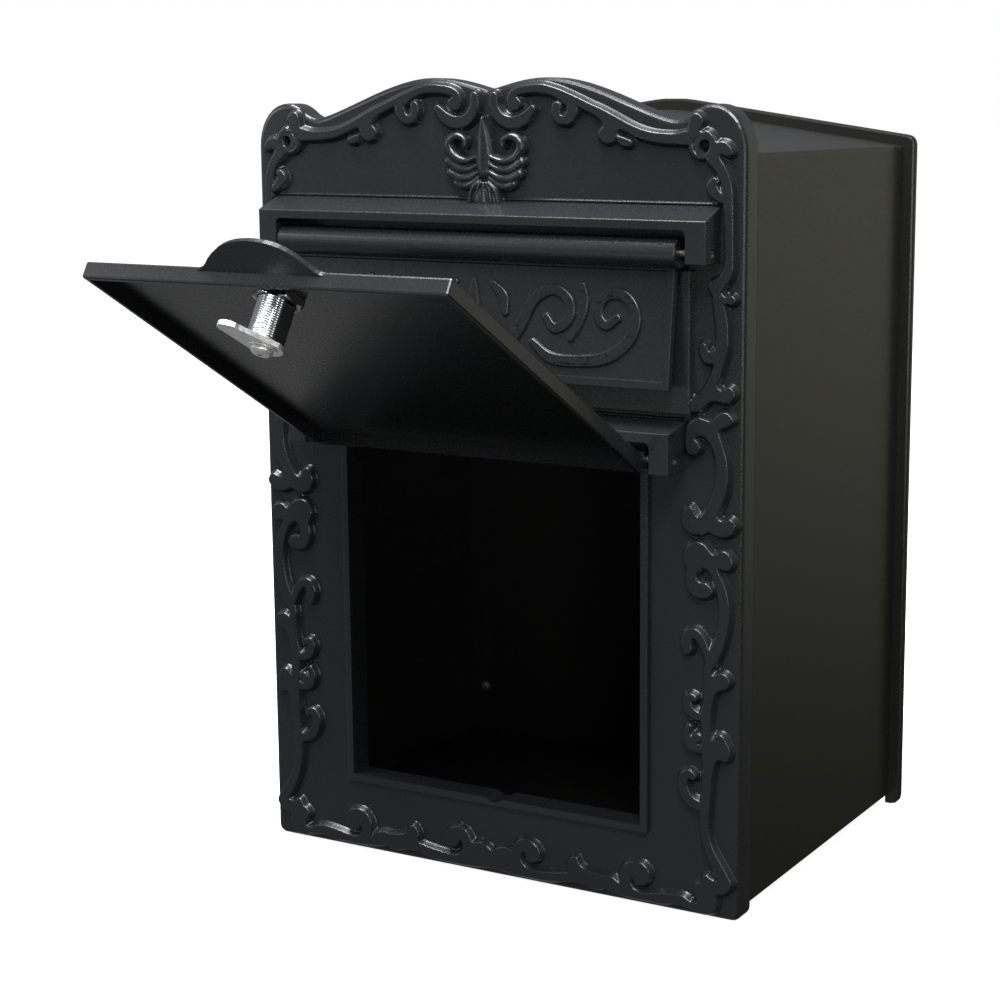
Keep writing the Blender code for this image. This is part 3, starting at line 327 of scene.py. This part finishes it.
# long stem beside the opening, down to the corner
STEM_4 = (
    (124, 205.3), (125.8, 209.4), (128.8, 211.9), (133, 212.3), (136.6, 211), (139.3, 208.3),
    (142, 206.1), (144.3, 208), (147.3, 208.8), (150.3, 207.8), (152.4, 205), (153, 201.8),
    (150.9, 199.1), (147.4, 199), (144.1, 199.5), (145.1, 196), (148.1, 190.8), (150.2, 184.5),
    (151.2, 177.4), (151, 169.7), (149.6, 161.7), (147, 153.6), (143.7, 146.5), (141.1, 142.3),
    (141.7, 139), (143.8, 140.4), (146.2, 141.1), (148.9, 140.9), (151.3, 139.2), (151.9, 136.4),
    (150.4, 133.7), (146.3, 132.1), (143.9, 130.3), (142.1, 125.6), (141, 119.3), (140.6, 112.4),
    (141.1, 105.7), (142, 102.7), (144.1, 105.6), (146.5, 106.8), (148.9, 105.5), (150.2, 103.1),
    (152, 100), (152.5, 96.1), (150.9, 92.5), (147, 93), (144.5, 92.1), (142.8, 87.3), (141.7, 80.8),
    (141.2, 73.3), (140.5, 64.6), (139.9, 57.6), (140.2, 50.8), (141.3, 45.2), (143.5, 40.1),
    (146.6, 35.2), (150, 30.3), (152.8, 25.6), (154.3, 22.2), (152.2, 18.6), (148.3, 16),
    (144.4, 15.4), (145, 11.8), (145, 7.1), (142.6, 4.3), (137.1, 3.3), (133.4, 3.7), (130.9, 7.4),
    (133.7, 8.5), (133.3, 11.9), (131, 16.1), (132, 19), (135.7, 21.1), (136.5, 23.8), (138.4, 25.4),
    (140.9, 24.2), (143.7, 22.9), (146.4, 24.2), (143.6, 28.9), (139.6, 36.3), (136.8, 44.4),
    (135.1, 54), (135.1, 62.6), (135.9, 71.3), (136.2, 80), (136.4, 88.6), (136, 99.9), (135.6, 109.5),
    (135.5, 118.5), (136.7, 125.4), (137.2, 133.9), (137.1, 143.5), (139.5, 151), (142.4, 158.1),
    (144.2, 163.9), (145.3, 171.2), (145.5, 178.4), (144.6, 184.9), (142.4, 191.8), (140.3, 196.3),
    (137.9, 198.4), (135.1, 198.9), (132.5, 196.8), (131.5, 193.1), (133.4, 190.3), (137.3, 190.1),
    (140.4, 187.8), (141, 185.1), (138, 182.8), (133.8, 182.1), (129.6, 183.2), (126.5, 186.8),
    (125.3, 192.2), (126.2, 197.8), (124.3, 202.1))
# right half of the band along the bottom, with two scrolls; it overlaps its own mirror image
BOTTOM_BAND = (
    (-9.7, 11.3), (-4.1, 13.5), (0, 15.4), (3.5, 17.9), (7.6, 19.2), (11, 18.9), (13.7, 18.1),
    (14.4, 19.8), (16.1, 23.1), (18.5, 25.3), (21.8, 26.5), (25.9, 26), (29.2, 24.1), (31.8, 21.3),
    (32.5, 18.1), (30.8, 15), (27.8, 13.6), (24.8, 14.6), (23.1, 17.6), (22.1, 19.6), (20.1, 17.7),
    (19.5, 14.6), (21, 11.2), (24.4, 9.1), (29.7, 8.5), (39.1, 9.3), (47.1, 10.6), (51, 11.7),
    (51, 15.9), (52.1, 19.7), (54.4, 21.6), (57, 21.2), (58, 18.3), (60.9, 15.9), (65.5, 14.7),
    (71.9, 14.1), (77.8, 14.1), (81, 13.2), (83.6, 11.3), (85.2, 9.8), (84.8, 14.8), (85.5, 19.4),
    (87.7, 23), (91.2, 25), (95.7, 25.6), (99.8, 24.6), (103, 21.9), (103.9, 18.3), (102.4, 14.7),
    (99.5, 12.7), (96.3, 12.7), (93.8, 14.4), (92.8, 16.5), (91.4, 14.8), (92.2, 11.1), (95.4, 8.7),
    (100.8, 8.2), (108.4, 9.5), (116.5, 10.6), (122.8, 10.8), (126.5, 9.9), (129.3, 8.1), (133.3, 8.1),
    (135.2, 4.4), (129, 5), (122.8, 5.6), (117.8, 5.5), (111.6, 4.3), (104, 4.4), (95.1, 4.2),
    (86.1, 4.6), (78.4, 5.6), (74.5, 6.7), (70.6, 5.1), (65.4, 5.3), (60.9, 6.3), (55.6, 6.8),
    (49, 5.9), (39.1, 4.4), (29, 4.1), (18.9, 4.1), (8.8, 4.7), (1.9, 5.4), (-4.2, 5.5), (-9.8, 5.1))
BEAD_SIDES = 20
# the ear's ring: x and z of its middle, radius and band width
EAR_RING = (132.8, 423.3, 6.0, 4.6)
EAR_RING_POINTS = 13
CURLS = (
    ((54.8, 444.8, 5.1), (55.4, 440.5, 6), (52.3, 436.6, 4.8), (47.6, 436.5, 4.2), (45.5, 440, 4.5),
     (45.8, 443.4, 4.8)),
    ((144.3, 396.2, 3.6), (140.8, 399.2, 5.4), (139, 402.2, 5.4), (140.4, 404.8, 3.9)),
    ((139.5, 147.7, 3), (137.4, 153.5, 3.6), (134.9, 158.5, 4.2), (131.3, 161.7, 4.8),
     (127, 160.9, 5.4), (125.5, 156.6, 6), (126.2, 152.7, 5.4)),
    ((137.4, 115.9, 3.6), (132.5, 115.8, 4.2), (127.9, 118.6, 5.1), (126.4, 122.9, 4.8),
     (127.6, 126, 3.6), (130.6, 125.4, 3)),
    ((137.5, 97.8, 3.6), (132.1, 97.3, 4.2), (127.8, 99.8, 4.8), (126.2, 104.7, 4.2),
     (127.7, 108.9, 3)),
    ((129.6, 100.6, 3.6), (132.6, 103.3, 4.8)),
    ((138.4, 64.9, 4.2), (132.9, 65.1, 4.8), (127.4, 68.2, 5.4), (124.2, 74.1, 5.4),
     (124.5, 79.9, 5.1), (127.6, 82.3, 4.2), (130, 81, 3.6)))

# the floral motif: a drop in the middle, flat-topped bands at the top, then rounded leaves and
# their heights
MOTIF_DROP = (
    (0.0, 437.0, 3.0), (0.0, 431.0, 8.4), (0.0, 422.0, 12.0), (0.0, 413.0, 13.0), (0.0, 408.0, 9.6))
DROP_H = 6.4
CREST_BAND = (
    (6.2, 448.6, 4.4), (6.4, 443.0, 5.2), (10.2, 437.2, 5.6), (17.0, 434.6, 6.2), (24.6, 436.6, 6.0),
    (30.6, 442.0, 3.6))
LEAVES = (
    (((5.0, 415.8, 3.4), (11.8, 413.6, 5.6), (19.0, 415.6, 7.0), (23.2, 421.1, 7.4), (21.4, 425.6, 6.6),
      (16.8, 427.2, 5.4), (12.4, 425.2, 4.4), (12.2, 421.8, 3.8)), 5.6),
    (((3.0, 406.0, 9.0), (10.0, 405.5, 15.0), (16.5, 407.5, 15.0), (20.5, 411.5, 9.0)), 3.9),
    (((4.4, 411.6, 3.4), (9.8, 409.0, 5.6), (17.0, 409.4, 6.6), (23.6, 413.4, 6.4)), 5.1),
    (((3.4, 407.8, 3.4), (9.1, 404.7, 5.8), (16.0, 404.2, 6.6), (22.6, 407.2, 5.8)), 5.1),
    (((3.4, 404.6, 3.0), (7.8, 401.3, 5.2), (13.4, 399.9, 5.8), (18.6, 401.4, 4.8)), 4.8))
# the fan over the hood: x and z of its middle and its radius; then one rib, as shares of its
# spread and of the radius, and width
FAN = (0.0, 393.6, 9.4)
FAN_H = 5.2
FAN_SPREADS = (-1.0, -0.5, 0.0, 0.5, 1.0)
FAN_RIB = ((0.35, 0.9, 2.4), (0.8, 0.45, 3.4), (1.0, -0.25, 3.4))
FAN_RIB_H = 5.9
# fillets where the hood and the lower rail spring from the plate: half width, and z
ROOT_FILLETS = ((142.0, 393.1), (122.5, 278.2))
ROOT_FILLET_W = 1.6
ROOT_FILLET_H = 1.5


def wall(height, draft, foot, root):
    """A flat-topped relief's side: distance outwards from its outline, and height."""
    side = [(draft + foot + SKIRT, -root), (draft + foot, FOOT_RISE), (draft + SLOPE_OUT, SLOPE_RISE)]
    side += [(ARRIS * share, height - drop) for share, drop in SOFT_EDGE]
    return side + [(-ARRIS, height)]


def dome(half, height, foot, root):
    """A rounded relief's side: distance outwards from its middle line, and height."""
    side = [(half + foot, -root)] + [(half + foot * share, rise) for share, rise in DOME_FOOT]
    for angle in map(math.radians, DOME_STEPS):
        side.append((half * math.cos(angle), height * (DOME_SILL + (1.0 - DOME_SILL) * math.sin(angle))))
    return side


class Relief:
    """Collects closed solids on a face; they are fused afterwards."""

    def __init__(self, base_y=0.0, height=ORNAMENT_H, draft=DRAFT, foot=FOOT, root=ROOT):
        self.verts = []
        self.faces = []
        self.base_y = base_y
        self.height = height
        self.draft = draft
        self.foot = foot
        self.root = root

    def side(self, half, height, rounded):
        """Distance from the middle line and height, from the root up."""
        if rounded:
            return dome(half, height, self.foot, self.root)
        return [(half + out, up) for out, up in wall(height, self.draft, self.foot, self.root)]

    def add(self, rings):
        base = len(self.verts)
        count = len(rings[0])
        for ring in rings:
            self.verts.extend(ring)
        for k in range(len(rings) - 1):
            for i in range(count):
                j = (i + 1) % count
                a = base + k * count
                b = a + count
                self.faces.append((a + i, a + j, b + j, b + i))
        self.faces.append(tuple(base + i for i in range(count))[::-1])
        last = base + (len(rings) - 1) * count
        self.faces.append(tuple(last + i for i in range(count)))

    def bead(self, x, z, radius, height=None, rounded=False):
        turns = [2.0 * math.pi * k / BEAD_SIDES for k in range(BEAD_SIDES)]
        rings = []
        for out, up in self.side(radius, height or self.height, rounded):
            if out > MERGED:
                y = self.base_y - up
                rings.append([(x + out * math.cos(a), y, z + out * math.sin(a)) for a in turns])
        self.add(rings)

    def stroke(self, points, height=None, rounded=False):
        """points: x, z and full width along the middle."""
        line = spline(points)
        rings = []
        for i, (x, z, width) in enumerate(line):
            before = line[max(0, i - 1)]
            after = line[min(len(line) - 1, i + 1)]
            along = np.array([after[0] - before[0], after[1] - before[1]])
            along /= max(1e-9, np.linalg.norm(along))
            side = np.array([-along[1], along[0]])
            profile = self.side(max(MIN_HALF, 0.5 * width), height or self.height, rounded)
            y = self.base_y
            ring = [(x + side[0] * o, y - u, z + side[1] * o) for o, u in profile]
            ring += [(x - side[0] * o, y - u, z - side[1] * o) for o, u in profile[::-1] if o > 1e-6]
            rings.append(ring)
        self.add(rings)
        for x, z, width in (line[0], line[-1]):
            self.bead(x, z, max(MIN_HALF, 0.5 * width), height, rounded)

    def mass(self, outline):
        """A flat-topped solid inside a closed outline."""
        line = np.array(spline(list(outline) + [outline[0]], OUTLINE_STEP)[:-1])
        for _ in range(OUTLINE_PASSES):
            line = 0.5 * line + 0.25 * (np.roll(line, 1, 0) + np.roll(line, -1, 0))
        along = np.roll(line, -1, 0) - np.roll(line, 1, 0)
        outward = np.stack([along[:, 1], -along[:, 0]], 1) / np.linalg.norm(along, axis=1)[:, None]
        x, z = line.T
        if np.sum(x * np.roll(z, -1) - z * np.roll(x, -1)) < 0.0:
            outward = -outward
        rings = []
        for out, up in wall(self.height, self.draft, self.foot, self.root):
            rings.append([(px, self.base_y - up, pz) for px, pz in line + out * outward])
        self.add(rings)

    def mirror(self):
        """Add the left half, a mirror image of what has been collected so far."""
        base = len(self.verts)
        self.faces += [tuple(base + i for i in face[::-1]) for face in self.faces]
        self.verts += [(-x, y, z) for x, y, z in self.verts]

    def fused(self, name, mat, voxel):
        """One smooth casting from the overlapping solids."""
        obj = mesh_object(name, self.verts, self.faces, mat)
        remesh = obj.modifiers.new("fuse", "REMESH")
        remesh.mode = "VOXEL"
        remesh.voxel_size = voxel * 1.0 * MM
        remesh.use_smooth_shade = True
        soft = obj.modifiers.new("soften", "SMOOTH")
        soft.factor = SOFTEN
        soft.iterations = 1
        return apply_modifiers(obj)


def ornament_side(r):
    """The right half of the scrollwork."""
    for outline in (TOP_STEM, SMALL_BUD, EAR_LOBE, STEM_1, STEM_2, STEM_3, STEM_4, BOTTOM_BAND):
        r.mass(outline)
    for curl in CURLS:
        r.stroke(curl)
    x, z, radius, width = EAR_RING
    r.stroke([(x + radius * math.cos(a), z + radius * math.sin(a), width)
              for a in np.linspace(0.0, 2 * math.pi, EAR_RING_POINTS)], rounded=True)


def palmette(r):
    """The floral motif in the middle, above the hood."""
    r.stroke(MOTIF_DROP, DROP_H, True)
    for side in (-1, 1):
        r.stroke([(side * x, z, width) for x, z, width in CREST_BAND])
        for leaf, height in LEAVES:
            r.stroke([(side * x, z, width) for x, z, width in leaf], height, True)
    x, z, radius = FAN
    r.bead(x, z, radius, FAN_H, True)
    for spread in FAN_SPREADS:
        reach = spread * radius
        r.stroke([(x + across * reach, z + up * radius, width) for across, up, width in FAN_RIB],
                 FAN_RIB_H, True)


def rail_roots(r):
    for half_w, z in ROOT_FILLETS:
        r.stroke([(x, z, ROOT_FILLET_W) for x in (-half_w, 0.0, half_w)], ROOT_FILLET_H, True)


def scrollwork():
    relief = Relief()
    ornament_side(relief)
    relief.mirror()
    palmette(relief)
    rail_roots(relief)
    return relief.fused("scrollwork", CAST_BLACK, SCROLL_VOXEL)


# ---------------------------------------------------------------- flap flourish
# the flap's axis as y, z, and the flap's lean as photographed
FLAP_AXIS = (-11.3, 367.8)
FLAP_TILT = math.radians(6.5)
# the panel's field before the flap leans: y of its face, and x, z of its middle
FIELD_Y = -7.9
FIELD_CENTRE = (-2.8, 328.95)
FLOURISH_H = 1.5
FLOURISH_DRAFT = 0.7
FLOURISH_FOOT = 0.25
FLOURISH_ROOT = 0.8
FLOURISH_VOXEL = 0.4
FLOURISH_EXTRA_W = 0.4
# the lozenge between the scrolls: height from the field's middle, and width
LOZENGE = ((-21.0, 1.6), (-10.0, 6.4), (0.0, 11.4), (10.0, 6.4), (21.0, 1.6))
FLAP_SCROLLS = (
    ((10, -19, 2.6), (21, -17, 4.6), (31, -4, 5.4), (39, 11, 5.2), (51, 17, 4.8), (61, 11, 4.6),
     (61, 1, 4.4), (53, -4, 4.0), (47, 2, 3.2)),
    ((39, -12, 2.6), (51, -20, 4.6), (68, -21, 5.2), (86, -18, 5.4), (99, -8, 5.2), (102, 5, 5.0),
     (95, 15, 4.8), (84, 15, 4.6), (79, 6, 4.4), (84, -1, 4.0), (91, 3, 3.2)),
    ((12, 19, 2.4), (19, 12, 5.2), (21, 3, 2.6)),
    ((69, 20, 2.4), (70, 11, 5.0), (68, -1, 2.8), (63, -9, 2.4)),
)


def turned(obj, angle, axis):
    """Turn a mesh about the line along X through a point given as y, z."""
    pivot = Matrix.Translation(world((0.0, *axis)))
    obj.data.transform(pivot @ Matrix.Rotation(angle, 4, "X") @ pivot.inverted())
    return obj


def flap_flourish():
    relief = Relief(FIELD_Y, FLOURISH_H, FLOURISH_DRAFT, FLOURISH_FOOT, FLOURISH_ROOT)
    cx, cz = FIELD_CENTRE
    for scroll in FLAP_SCROLLS:
        relief.stroke([(x, cz + z, width + FLOURISH_EXTRA_W) for x, z, width in scroll])
    relief.mirror()
    relief.stroke([(0.0, cz + z, width) for z, width in LOZENGE])
    relief.verts = [(x + cx, y, z) for x, y, z in relief.verts]
    return turned(relief.fused("flap_flourish", CAST_BLACK, FLOURISH_VOXEL), -FLAP_TILT, FLAP_AXIS)


# ---------------------------------------------------------------- cam lock
# the door's axis as y, z, and its angle from closed as photographed; the lock is drawn on the
# closed door, then turned with it
DOOR_AXIS = (-14.8, 257.8)
DOOR_OPEN = math.radians(120.3)
LOCK_X = -2.5
LOCK_DROP = 197.0
LOCK_Z = DOOR_AXIS[1] - LOCK_DROP
LOCK_R = 9.5
LOCK_FLAT = 8.0
LOCK_BORE = 6.25
LOCK_SEAT = -0.1
LOCK_HEAD = ((12.0, LOCK_SEAT), (12.0, -2.1), (11.3, -2.7), (LOCK_BORE, -2.7))
LOCK_TAIL = 28.5
THREAD_PITCH = 1.25
THREAD_DEPTH = 0.6
THREAD_START = 0.2
THREAD_END = 1.2
ROWS_PER_TURN = 8.0
TAIL_EDGE = 0.6
TAIL_EDGE_R = 1.1
ROUND_SIDES = 96
LOCK_SHARP_EDGE = math.radians(32.0)
NUT_LOW = 2.9
NUT_H = 4.5
NUT_CORNER = 13.4
NUT_BORE = 9.8
NUT_TURN = math.radians(96.0)
NUT_RISES = (0.0, 0.3, 0.6, 1.0, 2.2, 3.5, 3.9, 4.2, 4.5)
NUT_FACE_EXTRA = 0.2
NUT_CHAMFER_SLOPE = 1.9


def revolved(name, rows, mat):
    """A ring of rows: distance inwards from the door's face, and a radius for each angle.

    Rows of the barrel, no wider than LOCK_R, are cut to its two flats.
    """
    count = ROUND_SIDES
    verts = []
    faces = []
    for depth, radii in rows:
        for k in range(count):
            angle = 2.0 * math.pi * k / count
            x = radii[k] * math.cos(angle)
            if abs(x) > LOCK_FLAT and 0.0 < depth <= LOCK_TAIL and radii[k] <= LOCK_R:
                x = math.copysign(LOCK_FLAT, x)
            verts.append((LOCK_X + x, DOOR_AXIS[0] + depth, LOCK_Z + radii[k] * math.sin(angle)))
    total = len(rows)
    for row in range(total):
        below = (row + 1) % total
        for k in range(count):
            after = (k + 1) % count
            faces.append((row * count + k, row * count + after, below * count + after, below * count + k))
    obj = mesh_object(name, verts, faces, mat)
    obj.data.set_sharp_from_angle(angle=LOCK_SHARP_EDGE)
    return turned(obj, -DOOR_OPEN, DOOR_AXIS)


def threaded_housing():
    """Flanged barrel with a fine thread and two flats."""
    rows = [(depth, [radius] * ROUND_SIDES) for radius, depth in reversed(LOCK_HEAD)]
    rows.append((LOCK_SEAT, [LOCK_R] * ROUND_SIDES))
    step = THREAD_PITCH / ROWS_PER_TURN
    for i in range(int((LOCK_TAIL - THREAD_END) / step)):
        depth = THREAD_START + i * step
        radii = []
        for k in range(ROUND_SIDES):
            turn = (depth / THREAD_PITCH - k / ROUND_SIDES) % 1.0
            radii.append(LOCK_R - THREAD_DEPTH * (1.0 - abs(2.0 * turn - 1.0)))
        rows.append((depth, radii))
    rows.append((LOCK_TAIL - TAIL_EDGE, [LOCK_R - THREAD_DEPTH] * ROUND_SIDES))
    rows.append((LOCK_TAIL, [LOCK_R - TAIL_EDGE_R] * ROUND_SIDES))
    rows.append((LOCK_TAIL, [LOCK_BORE] * ROUND_SIDES))
    return revolved("threaded_housing", rows, CHROME)


def hexagon_nut():
    """Hexagon with a turned chamfer on both faces."""
    apothem = NUT_CORNER * math.cos(math.pi / 6.0)
    hexagon = []
    for k in range(ROUND_SIDES):
        angle = (2.0 * math.pi * k / ROUND_SIDES + NUT_TURN) % (math.pi / 3.0)
        hexagon.append(apothem / math.cos(angle - math.pi / 6.0))
    rows = [(NUT_LOW, [NUT_BORE] * ROUND_SIDES)]
    for rise in NUT_RISES:
        edge = min(rise, NUT_H - rise)
        chamfer = apothem + NUT_FACE_EXTRA + NUT_CHAMFER_SLOPE * edge
        rows.append((NUT_LOW + rise, [min(r, chamfer) for r in hexagon]))
    rows.append((NUT_LOW + NUT_H, [NUT_BORE] * ROUND_SIDES))
    return revolved("hexagon_nut", rows, CHROME)


def place(obj, body, node=None):
    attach(obj, body)
    if node is not None:
        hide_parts(node)


place(scrollwork(), "box")
place(flap_flourish(), "flap")
place(threaded_housing(), "door", "lock_housing")
place(hexagon_nut(), "door", "lock_nut")


# ---------------------------------------------------------------- camera, light and floor
CAMERA_PLACE = (0.6220, -1.2337, 0.2204)
CAMERA_TILT = math.radians(79.908)
CAMERA_TURN = math.radians(28.379)
CAMERA_LENS = 75.97
CAMERA_SENSOR = 36.0
CAMERA_SHIFT = (-0.1162, -0.0217)

# Colours of the surroundings, by direction: each pair is the colour at low X and at high X.
WHITE = (1.0, 1.0, 1.0, 1.0)
LOW_REAR = ((0.27, 0.27, 0.265), (0.035, 0.035, 0.03))
HIGH_REAR = ((0.13, 0.14, 0.155), (0.55, 0.54, 0.43))
FRONT = ((0.22, 0.225, 0.24), (0.06, 0.06, 0.06))
OVERHEAD = (0.25, 0.245, 0.225)
# Ranges over which one colour gives way to the next: two of a direction's Z, two of its X, one of Y.
HORIZON_RANGE = (-0.30, -0.05)
OVERHEAD_RANGE = (0.3, 0.7)
SIDE_RANGE = (0.12, 0.45)
LOW_SIDE_RANGE = (-0.35, 0.05)
REAR_RANGE = (0.25, 0.55)

FLOOR_Z = -0.2255
FLOOR_HALF_W = 30.0
FLOOR_GREY = 0.75
FLOOR_ROUGH = 0.9
FLOOR_GLOW = 0.88

# Softboxes face TARGET. Each has a name, a place, a size, watts and a colour.
TARGET = (0.0, -0.15, 0.0)
SOFTBOXES = (
    ("key", (0.9, -1.7, 1.9), (0.9, 0.8), 62.0, (0.96, 0.98, 1.0)),
    ("top", (-0.3, -0.6, 2.2), (1.6, 0.9), 135.0, (0.97, 0.99, 1.0)),
    ("front", (1.12, -1.75, 0.15), (0.3, 0.6), 6.0, (1.0, 1.0, 1.0)),
    ("right", (2.0, -1.15, 0.45), (0.35, 1.5), 5.0, (1.0, 1.0, 1.0)),
    ("left", (-2.0, -1.7, 0.9), (0.7, 1.4), 12.0, (1.0, 1.0, 0.98)),
)


def camera():
    data = bpy.data.cameras.new("camera")
    data.lens = CAMERA_LENS
    data.sensor_width = CAMERA_SENSOR
    data.shift_x, data.shift_y = CAMERA_SHIFT
    obj = bpy.data.objects.new("camera", data)
    obj.location = CAMERA_PLACE
    obj.rotation_euler = (CAMERA_TILT, 0.0, CAMERA_TURN)
    bpy.context.scene.collection.objects.link(obj)
    bpy.context.scene.camera = obj


def softbox(name, location, size, power, colour):
    data = bpy.data.lights.new(name, "AREA")
    data.shape = "RECTANGLE"
    data.size = size[0]
    data.size_y = size[1]
    data.energy = power
    data.color = colour
    obj = bpy.data.objects.new(name, data)
    obj.location = location
    obj.rotation_euler = (Vector(TARGET) - Vector(location)).to_track_quat("-Z", "Y").to_euler()
    bpy.context.scene.collection.objects.link(obj)


def surroundings():
    """A studio that is white to the lens and dimmer to every other ray."""
    scene = bpy.context.scene
    scene.view_settings.view_transform = "Standard"
    scene.world = bpy.data.worlds.new("studio")
    scene.world.use_nodes = True
    nodes = scene.world.node_tree.nodes
    links = scene.world.node_tree.links
    backdrop = nodes["Background"]
    backdrop.inputs["Color"].default_value = WHITE
    direction = nodes.new("ShaderNodeTexCoord").outputs["Generated"]
    split = nodes.new("ShaderNodeSeparateXYZ")
    links.new(direction, split.inputs["Vector"])
    height = remap(nodes, links, split.outputs["Z"], *HORIZON_RANGE)
    zenith = remap(nodes, links, split.outputs["Z"], *OVERHEAD_RANGE)
    side = remap(nodes, links, split.outputs["X"], *SIDE_RANGE)
    low_side = remap(nodes, links, split.outputs["X"], *LOW_SIDE_RANGE)
    rear = remap(nodes, links, split.outputs["Y"], *REAR_RANGE)
    low = blend_colour(nodes, links, low_side, *LOW_REAR)
    high = blend_colour(nodes, links, side, *HIGH_REAR)
    back = blend_colour(nodes, links, height, low, high)
    front = blend_colour(nodes, links, side, *FRONT)
    around = blend_colour(nodes, links, rear, front, back)
    ambient = nodes.new("ShaderNodeBackground")
    links.new(blend_colour(nodes, links, zenith, around, OVERHEAD), ambient.inputs["Color"])
    mix = nodes.new("ShaderNodeMixShader")
    path = nodes.new("ShaderNodeLightPath")
    links.new(path.outputs["Is Camera Ray"], mix.inputs["Fac"])
    links.new(ambient.outputs[0], mix.inputs[1])
    links.new(backdrop.outputs[0], mix.inputs[2])
    links.new(mix.outputs[0], nodes["World Output"].inputs["Surface"])


def studio_floor():
    """A pale floor that neither lights the box nor shows in it."""
    bm = bmesh.new()
    bmesh.ops.create_grid(bm, x_segments=2, y_segments=2, size=FLOOR_HALF_W)
    mesh = bpy.data.meshes.new("floor")
    bm.to_mesh(mesh)
    bm.free()
    floor = bpy.data.objects.new("floor", mesh)
    floor.location = (0.0, 0.0, FLOOR_Z)
    floor.visible_diffuse = False
    floor.visible_glossy = False
    bpy.context.scene.collection.objects.link(floor)
    mat, nodes, links, shader = new_material("pale_floor")
    shader.inputs["Base Color"].default_value = (FLOOR_GREY, FLOOR_GREY, FLOOR_GREY, 1.0)
    shader.inputs["Roughness"].default_value = FLOOR_ROUGH
    shader.inputs["Specular IOR Level"].default_value = 0.0
    shader.inputs["Emission Color"].default_value = WHITE
    shader.inputs["Emission Strength"].default_value = FLOOR_GLOW
    mesh.materials.append(mat)


camera()
surroundings()
studio_floor()
for softbox_values in SOFTBOXES:
    softbox(*softbox_values)
